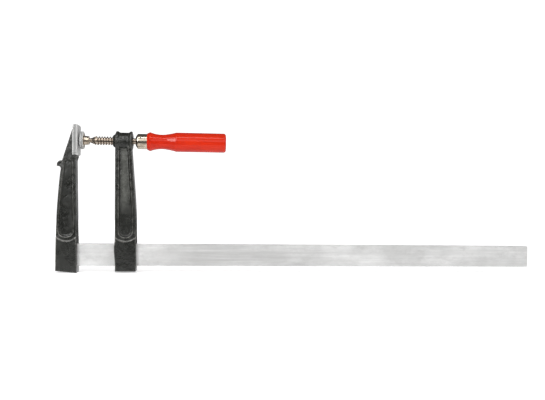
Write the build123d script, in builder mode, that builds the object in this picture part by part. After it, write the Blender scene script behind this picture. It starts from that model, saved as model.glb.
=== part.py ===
"""F clamp, 140 mm throat class, 30 x 8 mm rail.

Frame in millimetres: +X runs along the rail from the fixed jaw to the free end, +Z up the arms,
Y across the thickness, with y = 0 the plane of symmetry.  The origin is the centre of the fixed
jaw's clamping face, which is also on the axis of the screw.  The clamp is modelled closed.
"""
from build123d import *
import math
import os

os.makedirs("parts", exist_ok=True)

# ---- driving dimensions -------------------------------------------------------------------
throat = 140.0            # screw axis to the top edge of the rail
rail_height = 30.0
rail_thick = 8.0
rail_left = -27.2         # rail end, just inside the back of the fixed arm
rail_right = 635.6        # free end
rail_corner = 0.8
slide_gap = 0.3           # sliding arm to rail, all round

foot_thick = 20.0         # both castings, across Y, where they hold the rail
stem_thick = 18.2         # both castings above the foot
web_thick = 10.0          # I-section web left between the two pockets
draft = 12.0              # pocket wall draft, degrees
pocket_top_round = 4.2
pocket_end_round = 7.0    # nearly a half circle at the foot of each pocket
pocket_floor_round = 2.5
cast_round = 1.2          # outer edges of the stems
foot_round = 0.85
foot_top = -130.4         # the feet begin here at their sides, lower in the middle
arm_bottom = -177.3

jaw_wide = 28.0           # plastic cap on the fixed jaw
jaw_tall = 41.0
cap_deep = 6.5
cap_wall = 1.6
cap_corner = 3.5
cap_lip = 0.9

closed_gap = 2.4          # between the two plastic faces when closed
pad_radius = 12.0
pad_deep = 4.0
pad_wall = 1.4
hub_radius = 6.0
hub_end = 13.6
ball_x = 10.2             # centre of the swivel
ball_radius = 4.2
fit_gap = 0.1             # running fits in the swivel
stud_radius = 1.9
stud_left = 5.5
ring_left = 6.2
ring_thick = 0.7
ring_radius = 2.6
waist_radius = 3.0

lead = 3.6                # right-hand thread, single start
crest_radius = 6.0
root_radius = 4.35
crest_flat = 1.25
shank_radius = 4.2
flank_slope = math.tan(math.radians(15))
thread_left = 23.4
thread_right = 69.0
thread_gap = 0.15         # screw to nut, on crest, root and flanks

boss_left = 45.6
boss_right = 72.0
collar_radius = 13.4
barrel_radius = 11.6

ferrule_left = 76.2
ferrule_right = 91.2
ferrule_radius = 10.4
pin_radius = 1.2
pin_x = 82.6
pin_angle = 22.0          # pin direction, degrees above the front
handle_right = 198.5
collar_bead = 12.9
handle_waist = 9.9
grip_radius = 13.2
tang_side = 5.0
tang_end = 150.0

rail_mid = -throat - rail_height / 2
pocket_deep = (stem_thick - web_thick) / 2
jaw_half = jaw_tall / 2 - cap_wall
pad_left = closed_gap
pad_right = closed_gap + pad_deep
seat_radius = ball_radius + fit_gap


def pocket_tool(corners, lean):
    """Drafted pocket for the front of a casting, from the web out past the front face.

    Its floor leans towards the front face on the way up, by lean degrees from the pocket's foot.
    """
    foot = min(z for x, z in corners)
    outward = Vector(0, -1, 0).rotate(Axis.X, lean)
    with BuildPart() as tool:
        with BuildSketch(Plane(origin=(0, -web_thick / 2, foot), x_dir=(1, 0, 0), z_dir=outward)):
            with BuildLine():
                Polyline(*[(x, z - foot) for x, z in corners], close=True)
            make_face()
            fillet(vertices() - vertices().group_by(Axis.Y)[0], pocket_top_round)
            fillet(vertices().group_by(Axis.Y)[0], pocket_end_round)
        extrude(amount=pocket_deep + 2, taper=-draft)
        fillet(faces().sort_by(Axis.Y)[-1].edges(), pocket_floor_round)
    return tool.part


def helical_bars(left, right, inner, outer, wide_inner, wide_outer, phase_x):
    """Right-hand trapezoidal bar wound round X, in two-turn lengths that meet end to end.

    Bars made with the same phase_x line up with each other.
    """
    bars = []
    start = phase_x - math.ceil((phase_x - left) / lead) * lead
    while start < right:
        with BuildPart() as bar:
            with BuildLine():
                path = Helix(pitch=lead, height=2 * lead, radius=root_radius,
                             center=(start, 0, 0), direction=(1, 0, 0))
            radial = Vector(0, (path @ 0).Y, (path @ 0).Z).normalized()
            across = radial.cross(Vector(1, 0, 0))
            with BuildSketch(Plane(origin=(start, 0, 0), x_dir=radial, z_dir=across)):
                with BuildLine():
                    Polyline((inner, -wide_inner / 2), (inner, wide_inner / 2),
                             (outer, wide_outer / 2), (outer, -wide_outer / 2), close=True)
                make_face()
            sweep(path=path, is_frenet=True)
        bars.append(bar.part)
        start += 2 * lead
    return bars


def ridge_width(radius):
    """Axial width of the screw's ridge at a radius."""
    return crest_flat + 2 * (crest_radius - radius) * flank_slope


# ---- rail: drawn flat bar, sawn square and broken at the free end ----------------------------
with BuildPart() as rail:
    with BuildSketch(Plane.YZ.offset(rail_left)):
        with Locations((0, rail_mid)):
            RectangleRounded(rail_thick, rail_height, rail_corner)
    extrude(amount=rail_right - rail_left)
    chamfer(faces().sort_by(Axis.X)[-1].edges(), 0.5)

# ---- fixed arm: jaw plate, I-section stem, lug on the back, foot pressed round the rail -------
fixed_pocket = pocket_tool([(-24.0, -118), (-23.0, -96), (-21.2, -68), (-17.4, -26), (-7.6, -26),
                            (-6.2, -118), (-6.4, -129.5), (-24.0, -129.5)], 1.8)

with BuildPart() as fixed_foot:
    with BuildSketch(Plane.XZ):
        with BuildLine():
            ThreePointArc((-28, foot_top), (-14.4, foot_top - 5.6), (-0.8, foot_top))
            Polyline((-0.8, foot_top), (-0.2, -170), (-0.2, -179.2), (-28.1, -176.6), (-28, foot_top))
        make_face()
    extrude(amount=foot_thick / 2, both=True)
    fillet(faces().filter_by(Axis.Y).edges(), foot_round)

with BuildPart() as fixed_arm:
    with BuildSketch(Plane.XZ):
        with BuildLine():
            back = Spline((-28, foot_top), (-27.3, -102), (-24.6, -60), (-22.3, -39),
                          tangents=((0.02, 1), (2.1, 13)))
            Polyline(back @ 1, (-20.2, -26), (-7.2, 16.2), (-4.1, 16.2), (-4.1, -20.8), (-1.6, -20.8),
                     (-1.6, -22.4), (-3.0, -27), (-0.8, foot_top), (-1.4, foot_top - 9),
                     (-27.4, foot_top - 9), back @ 0)
        make_face()
    extrude(amount=stem_thick / 2, both=True)
    outline = faces().filter_by(Axis.Y).edges().filter_by_position(Axis.Z, -120, -4)
    under_cap = outline.filter_by_position(Axis.X, -8, 0).filter_by_position(Axis.Z, -30, 20)
    fillet(outline - under_cap, cast_round)
    with BuildSketch(Plane.XZ):
        with BuildLine():
            Polyline((-18, -42), (-22, -39.6), (-23.8, -36.2), (-28.1, -35.3), (-27.6, -31), (-24.8, -28.1),
                     (-18, -27.4), close=True)
        make_face()
    extrude(amount=stem_thick / 2 - 2.4, both=True)
    lug = edges().filter_by(Axis.Y, reverse=True).filter_by_position(Axis.Z, -37, -27)
    chamfer(lug.filter_by_position(Axis.X, -28.2, -24.6), 0.8)
    with BuildSketch(Plane.YZ.offset(-cap_deep + cap_lip)):
        RectangleRounded(jaw_wide - 2 * cap_wall, 2 * jaw_half, cap_corner - cap_wall)
    extrude(amount=cap_deep - cap_lip - cap_wall)
    add(fixed_pocket, mode=Mode.SUBTRACT)
    add(mirror(fixed_pocket, about=Plane.XZ), mode=Mode.SUBTRACT)
    add(fixed_foot.part)
    with BuildSketch(Plane.YZ.offset(-40)):
        with Locations((0, rail_mid)):
            RectangleRounded(rail_thick, rail_height, rail_corner)
    extrude(amount=60, mode=Mode.SUBTRACT)

# ---- fixed jaw cap: plastic cover clipped over the plate, notched below for the stem ---------
with BuildPart() as fixed_jaw_cap:
    with BuildSketch(Plane.YZ.offset(-cap_deep)):
        RectangleRounded(jaw_wide, jaw_tall, cap_corner)
    extrude(amount=cap_deep)
    fillet(faces().sort_by(Axis.X)[-1].edges(), 0.9)
    with BuildSketch(Plane.YZ.offset(-cap_deep + cap_lip)):
        RectangleRounded(jaw_wide - 2 * cap_wall, 2 * jaw_half, cap_corner - cap_wall)
    extrude(amount=cap_deep - cap_lip - cap_wall, mode=Mode.SUBTRACT)
    with BuildSketch(Plane.YZ.offset(-cap_deep)):
        RectangleRounded(stem_thick + 2.4, 2 * jaw_half - 2.4, 1.2)
    extrude(amount=cap_lip, mode=Mode.SUBTRACT)
    with Locations((-cap_deep, 0, -jaw_tall / 2)):
        Box(2 * (cap_deep - 3.7), stem_thick + 0.6, 8, mode=Mode.SUBTRACT)

# ---- sliding arm: threaded barrel with two collars, I-section stem, foot with the rail slot --
sliding_pocket = pocket_tool([(55.0, -5), (55.4, -130.0), (72.2, -130.0), (71.4, -90), (65.2, -5)], 0)
barrel_turned = [(boss_left, 0), (boss_left, 7.4), (48.2, 9.4), (50.0, collar_radius),
                 (52.2, collar_radius), (55.0, barrel_radius), (66.6, barrel_radius),
                 (69.0, collar_radius), (71.0, collar_radius), (boss_right, 9.8), (boss_right, 0)]
nut_ridge = helical_bars(boss_left - 4, boss_right + 1, root_radius - 0.6, crest_radius + thread_gap,
                         ridge_width(root_radius - 0.6) + 2 * thread_gap,
                         ridge_width(crest_radius + thread_gap) + 2 * thread_gap, thread_left)

with BuildPart() as sliding_foot:
    with BuildSketch(Plane.XZ):
        with BuildLine():
            ThreePointArc((49.7, foot_top), (63.9, foot_top - 5.8), (78.0, foot_top))
            Polyline((78.0, foot_top), (78.6, -171), (78.0, arm_bottom), (50.4, arm_bottom), (50.4, -168),
                     (48.9, -149), (48.9, -142), (49.7, -136), (49.7, foot_top))
        make_face()
        fillet(vertices().filter_by_position(Axis.Y, -172, -138), 2.0)
    extrude(amount=foot_thick / 2, both=True)
    fillet(faces().filter_by(Axis.Y).edges(), foot_round)

with BuildPart() as sliding_arm:
    with BuildSketch(Plane.XZ):
        with BuildLine():
            front = Spline((78.0, foot_top), (77.7, -108), (76.2, -78), (73.5, -44), (70.0, 0),
                           tangents=((0, 1), (-1, 12)))
            Polyline(front @ 1, (48.9, 0), (49.7, foot_top), (50.6, foot_top - 9), (77.2, foot_top - 9),
                     front @ 0)
        make_face()
    extrude(amount=stem_thick / 2, both=True)
    fillet(faces().filter_by(Axis.Y).edges().filter_by_position(Axis.Z, -120, -2), cast_round)
    add(sliding_pocket, mode=Mode.SUBTRACT)
    add(mirror(sliding_pocket, about=Plane.XZ), mode=Mode.SUBTRACT)
    add(sliding_foot.part)
    with BuildSketch(Plane.XZ):
        with BuildLine():
            Polyline(*barrel_turned, close=True)
        make_face()
        fillet(vertices().filter_by_position(Axis.X, boss_left + 1, boss_right - 1), 0.6)
    revolve(axis=Axis.X)
    with Locations(Plane.YZ.offset(boss_left - 1)):
        Cylinder(root_radius + thread_gap, boss_right - boss_left + 2,
                 align=(Align.CENTER, Align.CENTER, Align.MIN), mode=Mode.SUBTRACT)
    for bar in nut_ridge:
        add(bar, mode=Mode.SUBTRACT)
    with BuildSketch(Plane.XZ):
        with BuildLine():
            Polyline((boss_left, 0), (boss_left, 7.0), (boss_left + 1.6, 4.0), (boss_right - 1.6, 4.0),
                     (boss_right, 7.0), (boss_right, 0), close=True)
        make_face()
    revolve(axis=Axis.X, mode=Mode.SUBTRACT)
    with BuildSketch(Plane.YZ.offset(40)):
        with Locations((0, rail_mid)):
            RectangleRounded(rail_thick + 2 * slide_gap, rail_height + 2 * slide_gap, 1.0)
    extrude(amount=50, mode=Mode.SUBTRACT)

# ---- spindle: stud for the swivel, waist, cone, trapezoidal thread, shank and tang -----------
spindle_turned = [(stud_left, 0), (stud_left, stud_radius - 0.3), (stud_left + 0.3, stud_radius),
                  (ring_left - 0.05, stud_radius), (ring_left - 0.05, 1.4),
                  (ring_left + ring_thick + 0.05, 1.4), (ring_left + ring_thick + 0.05, stud_radius),
                  (13.2, stud_radius), (13.2, waist_radius), (15.4, waist_radius),
                  (thread_left - 0.6, crest_radius), (ferrule_right, crest_radius), (ferrule_right, 0)]
shank_turned = [(thread_right, crest_radius + 1), (thread_right, crest_radius),
                (thread_right + 1.8, shank_radius), (ferrule_right + 1, shank_radius),
                (ferrule_right + 1, crest_radius + 1)]
groove = helical_bars(thread_left + 0.4, thread_right + 1, root_radius, crest_radius + 1,
                      lead - ridge_width(root_radius), lead - ridge_width(crest_radius + 1),
                      thread_left + lead / 2)

with BuildPart() as spindle:
    with BuildSketch(Plane.XZ):
        with BuildLine():
            Polyline(*spindle_turned, close=True)
        make_face()
    revolve(axis=Axis.X)
    for bar in groove:
        add(bar, mode=Mode.SUBTRACT)
    with BuildSketch(Plane.XZ):
        with BuildLine():
            Polyline(*shank_turned, close=True)
        make_face()
    revolve(axis=Axis.X, mode=Mode.SUBTRACT)
    with BuildSketch(Plane.YZ.offset(ferrule_right)):
        Rectangle(tang_side, tang_side)
    extrude(amount=tang_end - ferrule_right)
    with Locations(Location((pin_x, 0, 0), (90 - pin_angle, 0, 0))):
        Cylinder(pin_radius, 30, mode=Mode.SUBTRACT)

# ---- ferrule, its cross pin and the turned handle ---------------------------------------------
with BuildPart() as ferrule:
    with BuildSketch(Plane.XZ):
        with BuildLine():
            Polyline((ferrule_left, shank_radius), (ferrule_left, 6.8), (ferrule_left + 2.2, 10.2),
                     (ferrule_left + 3.0, ferrule_radius), (ferrule_right, ferrule_radius),
                     (ferrule_right, shank_radius), close=True)
        make_face()
    revolve(axis=Axis.X)
    with Locations(Location((pin_x, 0, 0), (90 - pin_angle, 0, 0))):
        Cylinder(pin_radius, 30, mode=Mode.SUBTRACT)

with BuildPart() as handle_pin:
    with Locations(Location((pin_x, 0, 0), (90 - pin_angle, 0, 0))):
        Cylinder(pin_radius, 2 * ferrule_radius - 1.4)
    chamfer(edges().filter_by(GeomType.CIRCLE), 0.25)

with BuildPart() as handle:
    with BuildSketch(Plane.XZ):
        with BuildLine():
            neck = Spline((96.4, collar_bead - 0.3), (104, 10.5), (112.6, handle_waist), (122, 11.2),
                          (130.4, grip_radius), tangents=((1, -0.45), (1, 0.3)))
            Polyline(neck @ 1, (handle_right, grip_radius), (handle_right, 0), (ferrule_right, 0),
                     (ferrule_right, 11.2), (95.0, collar_bead), neck @ 0)
        make_face()
        fillet(vertices().sort_by(Axis.X)[-2:].sort_by(Axis.Y)[-1], 3.2)
        fillet(vertices().sort_by(Axis.X)[0:2].sort_by(Axis.Y)[-1], 0.6)
    revolve(axis=Axis.X)
    with BuildSketch(Plane.YZ.offset(ferrule_right)):
        Rectangle(tang_side, tang_side)
    extrude(amount=tang_end - ferrule_right, mode=Mode.SUBTRACT)

# ---- swivelling pressure pad: bush and retaining ring on the stud, plate with hub, plastic cap -
with BuildPart() as tip_ring:
    with BuildSketch(Plane.YZ.offset(ring_left)):
        Circle(ring_radius)
        Circle(1.5, mode=Mode.SUBTRACT)
        with Locations((0, 2)):
            Rectangle(1.2, 4, mode=Mode.SUBTRACT)
    extrude(amount=ring_thick)

with BuildPart() as ball_bush:
    with Locations((ball_x, 0, 0)):
        Sphere(ball_radius)
    with Locations(Plane.YZ.offset(ring_left + ring_thick + fit_gap - 10)):
        Box(20, 20, 10, align=(Align.CENTER, Align.CENTER, Align.MIN), mode=Mode.SUBTRACT)
    with Locations(Plane.YZ.offset(13.2 - fit_gap)):
        Box(20, 20, 10, align=(Align.CENTER, Align.CENTER, Align.MIN), mode=Mode.SUBTRACT)
    with Locations(Plane.YZ):
        Cylinder(stud_radius + 0.07, 40, mode=Mode.SUBTRACT)

with BuildPart() as pressure_plate:
    with BuildSketch(Plane.XZ):
        with BuildLine():
            Polyline((pad_left + pad_wall, 0), (pad_left + pad_wall, pad_radius - pad_wall),
                     (pad_right - 0.6, pad_radius - pad_wall), (pad_right - 0.6, hub_radius),
                     (11.3, hub_radius), (11.7, hub_radius - 0.6), (12.2, hub_radius - 0.6),
                     (12.6, hub_radius), (hub_end, hub_radius), (hub_end, 4.7), (ball_x + 2.35, 3.6),
                     (ball_x + 2.35, 0), close=True)
        make_face()
        hub_rim = vertices().filter_by_position(Axis.X, hub_end - 0.1, hub_end + 0.1)
        hub_root = vertices().filter_by_position(Axis.X, pad_right - 0.7, pad_right - 0.5)
        fillet(hub_rim.sort_by(Axis.Y)[-1], 0.5)
        fillet(hub_root.sort_by(Axis.Y)[0], 0.8)
    revolve(axis=Axis.X)
    with Locations((ball_x, 0, 0)):
        Sphere(seat_radius, mode=Mode.SUBTRACT)
    with Locations(Plane.YZ.offset(pad_left + pad_wall + 1.1)):
        Cylinder(3.5, 5, align=(Align.CENTER, Align.CENTER, Align.MIN), mode=Mode.SUBTRACT)

with BuildPart() as pad_cap:
    with BuildSketch(Plane.XZ):
        with BuildLine():
            Polyline((pad_left, 0), (pad_left, pad_radius), (pad_right, pad_radius),
                     (pad_right, pad_radius - 2.4), (pad_right - 0.6, pad_radius - 2.4),
                     (pad_right - 0.6, pad_radius - pad_wall), (pad_left + pad_wall, pad_radius - pad_wall),
                     (pad_left + pad_wall, 0), close=True)
        make_face()
        fillet(vertices().filter_by_position(Axis.Y, pad_radius - 0.1, pad_radius + 0.1), 0.6)
    revolve(axis=Axis.X)

pieces = {
    "rail": rail, "fixed_arm": fixed_arm, "fixed_jaw_cap": fixed_jaw_cap, "sliding_arm": sliding_arm,
    "spindle": spindle, "ferrule": ferrule, "handle_pin": handle_pin, "handle": handle,
    "tip_ring": tip_ring, "ball_bush": ball_bush, "pressure_plate": pressure_plate, "pad_cap": pad_cap,
}
for node, piece in pieces.items():
    piece.part.label = node
    export_step(piece.part, f"parts/{node}.step")
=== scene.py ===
import math

import bmesh
import bpy
from mathutils import Matrix, Vector


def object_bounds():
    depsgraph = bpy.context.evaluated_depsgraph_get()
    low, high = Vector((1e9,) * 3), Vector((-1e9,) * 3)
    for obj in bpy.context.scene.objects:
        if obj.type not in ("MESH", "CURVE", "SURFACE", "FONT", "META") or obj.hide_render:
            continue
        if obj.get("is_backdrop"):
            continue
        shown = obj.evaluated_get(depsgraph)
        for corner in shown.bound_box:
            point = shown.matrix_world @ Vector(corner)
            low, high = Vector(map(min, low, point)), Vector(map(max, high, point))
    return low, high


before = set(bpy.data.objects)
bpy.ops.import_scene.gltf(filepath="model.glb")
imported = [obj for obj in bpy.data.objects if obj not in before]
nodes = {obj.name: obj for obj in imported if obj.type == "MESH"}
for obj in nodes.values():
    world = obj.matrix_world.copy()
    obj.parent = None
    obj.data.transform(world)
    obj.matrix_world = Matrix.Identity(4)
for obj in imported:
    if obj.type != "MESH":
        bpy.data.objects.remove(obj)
low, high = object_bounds()
scene = bpy.context.scene
white = (1, 1, 1, 1)

# ---------------------------------------------------------------- colour handling
scene.view_settings.view_transform = "Standard"
scene.view_settings.look = "None"
scene.cycles.use_denoising = True


# ---------------------------------------------------------------- material graph helper
class Graph:
    """Short names for the shader nodes that the materials below are made of."""

    def __init__(self, name, **settings):
        self.material = bpy.data.materials.new(name)
        self.material.use_nodes = True
        self.tree = self.material.node_tree
        self.shader = self.tree.nodes["Principled BSDF"]
        for key, value in settings.items():
            self.shader.inputs[key.replace("_", " ")].default_value = value

    def new(self, kind):
        return self.tree.nodes.new("ShaderNode" + kind)

    def link(self, source, target):
        self.tree.links.new(source, target)

    def put(self, socket, value):
        """Link a socket to this one, or set it to a number or a colour."""
        if isinstance(value, bpy.types.NodeSocket):
            self.link(value, socket)
        elif isinstance(value, tuple) and len(value) == 3 and socket.type == "RGBA":
            socket.default_value = (*value, 1.0)
        else:
            socket.default_value = value

    def noise(self, scale, stretch=(1, 1, 1), detail=4.0, roughness=0.55):
        """Cloudy pattern; a stretch below 1 draws it out along that axis."""
        mapping = self.new("Mapping")
        mapping.inputs["Scale"].default_value = stretch
        self.link(self.new("TexCoord").outputs["Object"], mapping.inputs["Vector"])
        n = self.new("TexNoise")
        self.link(mapping.outputs["Vector"], n.inputs["Vector"])
        n.inputs["Scale"].default_value = scale
        n.inputs["Detail"].default_value = detail
        n.inputs["Roughness"].default_value = roughness
        return n.outputs["Fac"]

    def ramp(self, value, *stops):
        """Grey that follows a value; stops are (value from 0 to 1, grey)."""
        n = self.new("ValToRGB")
        elements = n.color_ramp.elements
        while len(elements) < len(stops):
            elements.new(0.5)
        for element, (position, grey) in zip(elements, stops):
            element.position = position
            element.color = (grey, grey, grey, 1.0)
        self.link(value, n.inputs["Fac"])
        return n.outputs["Color"]

    def rise(self, value, start, end, most=1.0):
        """0 up to start, rising evenly to its most at end."""
        return self.ramp(value, (start, 0.0), (end, most))

    def over(self, length, span, *stops):
        """Ramp along a length in metres, with its span and its stops in millimetres."""
        first, last = span
        reach = last - first
        share = self.math("DIVIDE", self.math("SUBTRACT", length, first / 1000), reach / 1000)
        return self.ramp(share, *(((place - first) / reach, grey) for place, grey in stops))

    def math(self, operation, a, b=0.0):
        n = self.new("Math")
        n.operation = operation
        self.put(n.inputs[0], a)
        self.put(n.inputs[1], b)
        return n.outputs["Value"]

    def product(self, first, *others):
        for other in others:
            first = self.math("MULTIPLY", first, other)
        return first

    def mix(self, factor, a, b):
        n = self.new("Mix")
        n.data_type = "RGBA"
        self.put(n.inputs["Factor"], factor)
        self.put(n.inputs[6], a)
        self.put(n.inputs[7], b)
        return n.outputs[2]

    def axis(self, which):
        """The X, Y or Z of the row frame, in metres."""
        split = self.new("SeparateXYZ")
        self.link(self.new("TexCoord").outputs["Object"], split.inputs["Vector"])
        return split.outputs[which]

    def away(self, one, other):
        """Distance from the line where both of these axes are 0, in metres."""
        a, b = self.axis(one), self.axis(other)
        squares = self.math("ADD", self.math("MULTIPLY", a, a), self.math("MULTIPLY", b, b))
        return self.math("SQRT", squares)

    def sideways(self):
        """Distance from the plane of symmetry, in metres."""
        return self.math("ABSOLUTE", self.axis("Y"))

    def facing(self, which):
        """1 where the surface squarely faces along this axis, and 0 where it lies along it."""
        split = self.new("SeparateXYZ")
        self.link(self.new("NewGeometry").outputs["Normal"], split.inputs["Vector"])
        return self.math("ABSOLUTE", split.outputs[which])

    def eased(self, size):
        """Normal with every edge and inner corner eased over this size, as on a casting."""
        n = self.new("Bevel")
        n.samples = 6
        n.inputs["Radius"].default_value = size
        return n.outputs["Normal"]

    def worn(self, size):
        """0 on open faces, rising to about 0.3 on an edge or inner corner within this size."""
        n = self.new("VectorMath")
        n.operation = "DOT_PRODUCT"
        self.link(self.eased(size), n.inputs[0])
        self.link(self.new("NewGeometry").outputs["Normal"], n.inputs[1])
        return self.math("SUBTRACT", 1.0, n.outputs["Value"])

    def rub(self, size, tone, colour, amount):
        """Tone, going over to another colour where an edge has worn."""
        return self.mix(self.rise(self.worn(size), 0.01, 0.12, most=amount), tone, colour)

    def bump(self, height, depth, before=None):
        """Normal with a relief of this depth in metres, on top of the one before."""
        n = self.new("Bump")
        n.inputs["Strength"].default_value = 1.0
        n.inputs["Distance"].default_value = depth
        self.put(n.inputs["Height"], height)
        if before is not None:
            self.link(before, n.inputs["Normal"])
        return n.outputs["Normal"]

    def finish(self, **sockets):
        for key, value in sockets.items():
            self.put(self.shader.inputs[key.replace("_", " ")], value)
        return self.material


# ---------------------------------------------------------------- materials
def cast_iron(name, floor_highlight):
    """Black enamel over rough malleable iron, lumpy and glossy; worn grey on the edges, which also
    carry a painted highlight.

    The second argument is how strong a painted highlight lies along the middle of the pocket
    floors, from 0 to 1.
    """
    deep_black, soft_black = (0.0060, 0.0066, 0.0050), (0.0120, 0.0128, 0.0100)
    dusty = (0.026, 0.027, 0.023)
    floor_highlight_grey = (0.105, 0.108, 0.096)
    edge_wear_and_glint_grey = (0.13, 0.127, 0.117)
    end_glint_grey = (0.27, 0.266, 0.25)
    edge_reach, casting_round = 0.0022, 0.0012
    arm_down = (0, -200)

    g = Graph(name, Specular_IOR_Level=0.6)
    cloud = g.noise(38, detail=2)
    lumps = g.noise(190, detail=2, roughness=0.45)
    grain = g.noise(650, detail=3, roughness=0.6)
    colour = g.mix(g.rise(cloud, 0.36, 0.66), deep_black, soft_black)
    colour = g.mix(g.rise(lumps, 0.46, 0.80, most=0.8), colour, dusty)

    # Pocket floors: a painted highlight inside the flanges, facing sideways, greyest high up and
    # in the middle.
    inside = g.over(g.sideways(), (0, 10), (6, 1.0), (8, 0.0))
    flat = g.rise(g.facing("Y"), 0.80, 0.97)
    upper = g.over(g.axis("Z"), arm_down, (-72, 1.0), (-96, 0.12))
    middle = g.over(g.axis("X"), (0, 100), (53.5, 0.1), (60.5, 1.0), (66, 0.75), (71, 0.25))
    patchy = g.ramp(cloud, (0.35, 0.6), (0.65, 1.0))
    colour = g.mix(g.product(inside, flat, upper, middle, floor_highlight, patchy), colour, floor_highlight_grey)

    # Edges: worn enamel everywhere, lightened further as a painted highlight, and a brighter
    # painted highlight round the pockets' ends above the foot.
    edge_wear_and_glint = g.product(g.rise(g.worn(edge_reach), 0.004, 0.08),
                     g.ramp(lumps, (0.40, 0.3), (0.60, 1.0)))
    ends = g.over(g.axis("Z"), arm_down, (-116, 0.0), (-126, 1.0), (-138, 1.0), (-144, 0.0))
    colour = g.mix(edge_wear_and_glint, colour, edge_wear_and_glint_grey)
    colour = g.mix(g.product(edge_wear_and_glint, ends), colour, end_glint_grey)

    rough = g.ramp(g.mix(0.3, cloud, grain), (0.38, 0.22), (0.62, 0.36))
    normal = g.bump(cloud, 0.0011, g.eased(casting_round))
    normal = g.bump(lumps, 0.00055, normal)
    normal = g.bump(grain, 0.00014, normal)
    return g.finish(Base_Color=colour, Roughness=rough, Normal=normal)


def rail_steel():
    """Bright drawn bar: fine lines along its length, faint mottling and a few scuffs."""
    plain, bright = (0.70, 0.70, 0.695), (0.86, 0.86, 0.855)
    stain, speckle = (0.48, 0.48, 0.475), (0.47, 0.465, 0.46)
    track, rubbed_edge = (0.46, 0.46, 0.455), (0.92, 0.92, 0.91)

    g = Graph("drawn_rail_steel", Metallic=0.45, Specular_IOR_Level=0.5)
    lines = g.noise(900, stretch=(0.012, 1, 1), detail=3, roughness=0.6)
    streak = g.noise(160, stretch=(0.03, 1, 1), detail=5, roughness=0.7)
    patch = g.noise(20, stretch=(0.5, 1, 1), detail=6, roughness=0.65)
    speck = g.noise(120, stretch=(0.45, 1, 1), detail=5, roughness=0.7)
    tone = g.mix(g.rise(streak, 0.3, 0.7), plain, bright)
    tone = g.mix(g.ramp(patch, (0.40, 0.55), (0.60, 0.0)), tone, stain)
    tone = g.mix(g.rise(speck, 0.50, 0.72, most=0.5), tone, speckle)

    # The stretch that the sliding arm is drawn along most is duller than the rest.
    travel = g.over(g.axis("X"), (0, 500), (110, 0.0), (160, 0.85), (310, 0.80), (390, 0.10))
    scuffed = g.ramp(streak, (0.40, 1.0), (0.62, 0.3))
    tone = g.mix(g.product(travel, scuffed), tone, track)
    tone = g.rub(0.0008, tone, rubbed_edge, 0.9)

    rough = g.ramp(g.mix(0.5, patch, streak), (0.35, 0.46), (0.65, 0.34))
    normal = g.bump(lines, 0.00003)
    normal = g.bump(streak, 0.00003, normal)
    return g.finish(Base_Color=tone, Roughness=rough, Normal=normal)


def plated(name, around=True):
    """Warm nickel plate: turning marks (or plain grain), smears and small dark pores."""
    smeared, clean = (0.42, 0.34, 0.26), (0.80, 0.70, 0.58)
    pore, rubbed_edge = (0.20, 0.16, 0.13), (0.90, 0.82, 0.70)

    g = Graph(name, Metallic=1.0)
    if around:
        turned = g.noise(1600, stretch=(1, 0.06, 0.06), detail=3)
    else:
        turned = g.noise(900, detail=3)
    smear = g.noise(150, detail=5, roughness=0.7)
    pores = g.noise(900, detail=2)
    tone = g.mix(g.rise(smear, 0.35, 0.66), smeared, clean)
    tone = g.mix(g.rise(pores, 0.60, 0.70, most=0.6), tone, pore)
    tone = g.rub(0.0006, tone, rubbed_edge, 0.7)
    rough = g.ramp(smear, (0.3, 0.32), (0.7, 0.16))
    normal = g.bump(turned, 0.00003)
    normal = g.bump(smear, 0.00010, normal)
    return g.finish(Base_Color=tone, Roughness=rough, Normal=normal)


def screw_plate():
    """The same plate on the screw, darker in the thread roots."""
    smeared, clean = (0.46, 0.38, 0.30), (0.74, 0.65, 0.55)
    root_darkening = (0.16, 0.115, 0.085)

    g = Graph("plated_screw", Metallic=1.0)
    smear = g.noise(160, detail=4, roughness=0.65)
    fine = g.noise(1500, detail=2)
    tone = g.mix(g.rise(smear, 0.35, 0.7), smeared, clean)
    # Colour darkened in the thread roots along the threaded length.
    root = g.over(g.away("Y", "Z"), (0, 10), (4.5, 1.0), (5.85, 0.0))
    threaded = g.over(g.axis("X"), (0, 100), (22.5, 0.0), (24, 1.0), (69, 1.0), (71.5, 0.25))
    tone = g.mix(g.product(root, threaded, 0.85), tone, root_darkening)
    rough = g.ramp(smear, (0.3, 0.28), (0.7, 0.15))
    return g.finish(Base_Color=tone, Roughness=rough, Normal=g.bump(fine, 0.00001))


def dark_pin():
    """Sunk end of the cross pin, painted dark to stand for the shade in its hole."""
    g = Graph("dark_pin", Metallic=1.0)
    pin_mottle = g.noise(900, detail=3)
    # Painted shade: the pin end is coloured dark for the shade in its hole.
    return g.finish(Base_Color=g.ramp(pin_mottle, (0.35, 0.05), (0.7, 0.16)),
                    Roughness=g.ramp(pin_mottle, (0.3, 0.6), (0.7, 0.4)),
                    Normal=g.bump(pin_mottle, 0.00005))


def red_lacquer():
    """Turned beech under opaque red lacquer; the grain telegraphs through a little."""
    deep_red, light_red = (0.47, 0.012, 0.0010), (0.56, 0.021, 0.0025)
    grain_red, fleck_red = (0.36, 0.009, 0.002), (0.26, 0.007, 0.002)
    knocked_edge = (0.25, 0.005, 0.003)

    g = Graph("red_lacquer", Specular_IOR_Level=0.05,
              Coat_Weight=0.9, Coat_Roughness=0.12, Coat_IOR=1.35)
    grain = g.noise(420, stretch=(0.05, 1, 1), detail=4, roughness=0.6)
    cloud = g.noise(45, stretch=(0.4, 1, 1), detail=3)
    flecks = g.noise(1100, stretch=(0.09, 1, 1), detail=2)
    tone = g.mix(g.rise(cloud, 0.35, 0.68), deep_red, light_red)
    tone = g.mix(g.rise(grain, 0.50, 0.72, most=0.25), tone, grain_red)
    tone = g.mix(g.rise(flecks, 0.62, 0.72, most=0.18), tone, fleck_red)
    tone = g.rub(0.0014, tone, knocked_edge, 0.75)
    rough = g.ramp(cloud, (0.3, 0.40), (0.7, 0.52))
    return g.finish(Base_Color=tone, Roughness=rough, Normal=g.bump(grain, 0.00006))


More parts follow.
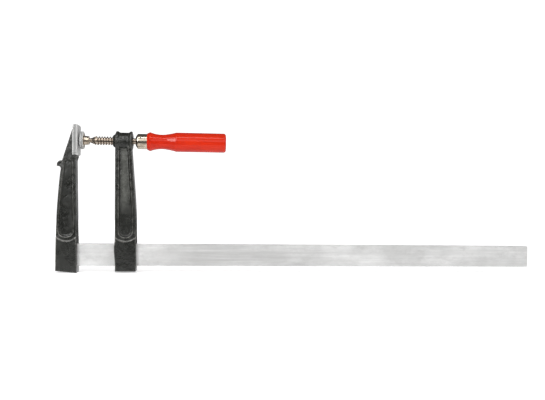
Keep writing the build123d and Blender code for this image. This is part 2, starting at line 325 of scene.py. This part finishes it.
def cap_plastic(name, dark_from, dark_to):
    """Milky grey polyethylene; the metal behind it shows through as a darker band.

    The band runs between two places along X, in millimetres, and fades at both.
    """
    milky, pale = (0.38, 0.38, 0.375), (0.50, 0.50, 0.49)
    metal_behind, rubbed_edge = (0.17, 0.17, 0.167), (0.64, 0.64, 0.63)
    reach = 50 / 3

    g = Graph(name, Subsurface_Weight=0.6, Subsurface_Scale=0.004,
              Subsurface_Radius=(1.0, 1.0, 1.0), Specular_IOR_Level=0.5)
    cloud = g.noise(150, stretch=(1, 1, 0.35), detail=4)
    fine = g.noise(1400, detail=2)
    band = g.over(g.axis("X"), (-reach, reach), (dark_from - 0.4, 0.0), (dark_from + 0.6, 1.0),
                  (dark_to - 0.67, 0.9), (dark_to + 0.4, 0.0))
    tone = g.mix(g.rise(cloud, 0.35, 0.7), milky, pale)
    tone = g.mix(g.product(band, 0.7), tone, metal_behind)
    tone = g.rub(0.0009, tone, rubbed_edge, 0.9)
    rough = g.ramp(g.mix(0.4, cloud, fine), (0.35, 0.24), (0.65, 0.40))
    normal = g.bump(cloud, 0.00010)
    normal = g.bump(fine, 0.00002, normal)
    return g.finish(Base_Color=tone, Roughness=rough, Normal=normal)


looks = {
    "rail": rail_steel(),
    # The sliding arm's pocket floors carry the painted highlight; the fixed arm's carry none.
    "fixed_arm": cast_iron("fixed_arm_iron", floor_highlight=0.0),
    "sliding_arm": cast_iron("sliding_arm_iron", floor_highlight=1.0),
    "fixed_jaw_cap": cap_plastic("jaw_cap_plastic", dark_from=-5.0, dark_to=-1.8),
    "pad_cap": cap_plastic("pad_cap_plastic", dark_from=3.8, dark_to=5.8),
    "spindle": screw_plate(),
    "ferrule": plated("plated_ferrule"),
    "handle_pin": dark_pin(),
    "tip_ring": plated("ring_steel", around=False),
    "ball_bush": plated("bush_steel", around=False),
    "pressure_plate": plated("pad_steel"),
    "handle": red_lacquer(),
}
for name, material in looks.items():
    piece = nodes[name]
    piece.data.materials.clear()
    piece.data.materials.append(material)

# ---------------------------------------------------------------- studio
floor_z = low.z
rail_middle = 0.3
floor_radius = 2.6
wall_radius = 1.6
wall_height = 5.0
facets = 96


def ring(bm, radius, height):
    return [bm.verts.new((radius * math.cos(t), radius * math.sin(t), height))
            for t in (math.tau * i / facets for i in range(facets))]


def paper(name, near, far):
    """Pale paper, lit evenly from within so that it stays pale away from the lamps."""
    g = Graph(name, Roughness=0.9, Specular_IOR_Level=0.1, Emission_Color=white)
    glow = g.ramp(g.math("DIVIDE", g.away("X", "Y"), floor_radius), (0.2, near), (0.7, far))
    fibres = g.ramp(g.noise(3, detail=4), (0.3, 0.80), (0.7, 0.84))
    return g.finish(Base_Color=fibres, Emission_Strength=glow)


def backdrop(name, profile, closed, material):
    """Turned sheet of pale paper from a profile of (radius, height), open or closed inside."""
    mesh = bpy.data.meshes.new(name)
    bm = bmesh.new()
    rings = [ring(bm, radius, height) for radius, height in profile]
    if closed:
        bm.faces.new(rings[0])
    for a, b in zip(rings, rings[1:]):
        for i in range(facets):
            after = (i + 1) % facets
            bm.faces.new((a[i], b[i], b[after], a[after]))
    bm.to_mesh(mesh)
    bm.free()
    mesh.polygons.foreach_set("use_smooth", [True] * len(mesh.polygons))
    mesh.materials.append(material)
    sheet = bpy.data.objects.new(name, mesh)
    sheet.location = (rail_middle, 0.0, floor_z)
    scene.collection.objects.link(sheet)
    sheet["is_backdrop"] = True
    return sheet


# The floor and wall are left out of reflections. A smaller patch of floor under the clamp is
# seen in reflections only, so that round metal mirrors a near floor and not the whole room.
floor_profile = [(0.3, 0.0), (1.0, 0.0), (floor_radius, 0.0)]
ground = backdrop("pale_floor", floor_profile, True, paper("pale_floor", near=0.50, far=0.95))
ground.visible_glossy = False

patch_profile = [(0.05, 0.0), (0.30, 0.0)]
patch = backdrop("floor_patch", patch_profile, True, paper("floor_patch", near=0.45, far=0.45))
patch.scale.x = 1.6
patch.visible_camera = False
patch.visible_diffuse = False
patch.visible_shadow = False

wall_profile = [(floor_radius + wall_radius * math.sin(t), wall_radius * (1 - math.cos(t)))
                for t in (math.radians(d) for d in range(0, 91, 6))]
wall_profile.append((floor_radius + wall_radius, wall_height))
wall = backdrop("pale_wall", wall_profile, False, paper("pale_wall", near=0.95, far=0.95))
wall.visible_glossy = False
wall.visible_diffuse = False


def softbox(name, where, towards, size, power, mirrored=True):
    """Rectangular light; one that isn't mirrored brightens surfaces but shows in no reflection."""
    data = bpy.data.lights.new(name, "AREA")
    data.shape = "RECTANGLE"
    data.size, data.size_y = size
    data.energy = power
    lamp = bpy.data.objects.new(name, data)
    lamp.location = where
    aim = Vector(towards) - Vector(where)
    lamp.rotation_euler = aim.to_track_quat("-Z", "Y").to_euler()
    lamp.visible_glossy = mirrored
    scene.collection.objects.link(lamp)


# Places, targets and sizes are in metres, powers in watts.
softbox("key", (0.25, -0.85, 1.25), (0.25, 0, -0.08), size=(1.9, 0.3), power=8)
softbox("left", (-0.57, -1.10, 0.50), (0.10, 0, -0.02), size=(0.35, 0.90), power=9)
softbox("overhead", (0.3, 0.15, 1.7), (0.3, 0, 0), size=(2.2, 0.7), power=9, mirrored=False)
softbox("fill", (0.25, -1.6, 0.60), (0.25, 0, -0.08), size=(2.4, 0.7), power=8)
softbox("side", (1.9, -0.8, 0.5), (0.2, 0, -0.05), size=(0.7, 0.9), power=9)
softbox("back", (0.6, 1.8, 0.25), (0.2, 0, -0.10), size=(2.4, 0.8), power=3)
softbox("back_fill", (0.3, 1.7, 0.80), (0.2, 0, -0.05), size=(2.2, 0.6), power=8, mirrored=False)

room_glow = 0.10
world = bpy.data.worlds.new("studio")
scene.world = world
world.use_nodes = True
background = world.node_tree.nodes["Background"]
background.inputs["Color"].default_value = white
background.inputs["Strength"].default_value = room_glow

# ---------------------------------------------------------------- camera
camera_place = (0.1691, -0.9402, -0.0751)
yaw, pitch, roll = (math.radians(degrees) for degrees in (5.79, -0.54, 0.72))
camera_data = bpy.data.cameras.new("camera")
camera_data.sensor_width = 36.0
camera_data.lens = 44.73
camera_data.shift_y = 0.0082
camera = bpy.data.objects.new("camera", camera_data)
scene.collection.objects.link(camera)
forward = Vector((math.sin(yaw) * math.cos(pitch),
                  math.cos(yaw) * math.cos(pitch),
                  math.sin(pitch)))
level = Vector((math.cos(yaw), -math.sin(yaw), 0))
right = math.cos(roll) * level + math.sin(roll) * level.cross(forward)
up = right.cross(forward)
turned = Matrix((right, up, -forward)).transposed().to_4x4()
camera.matrix_world = Matrix.Translation(camera_place) @ turned
scene.camera = camera

# ---------------------------------------------------------------- sizes, and the end
low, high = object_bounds()
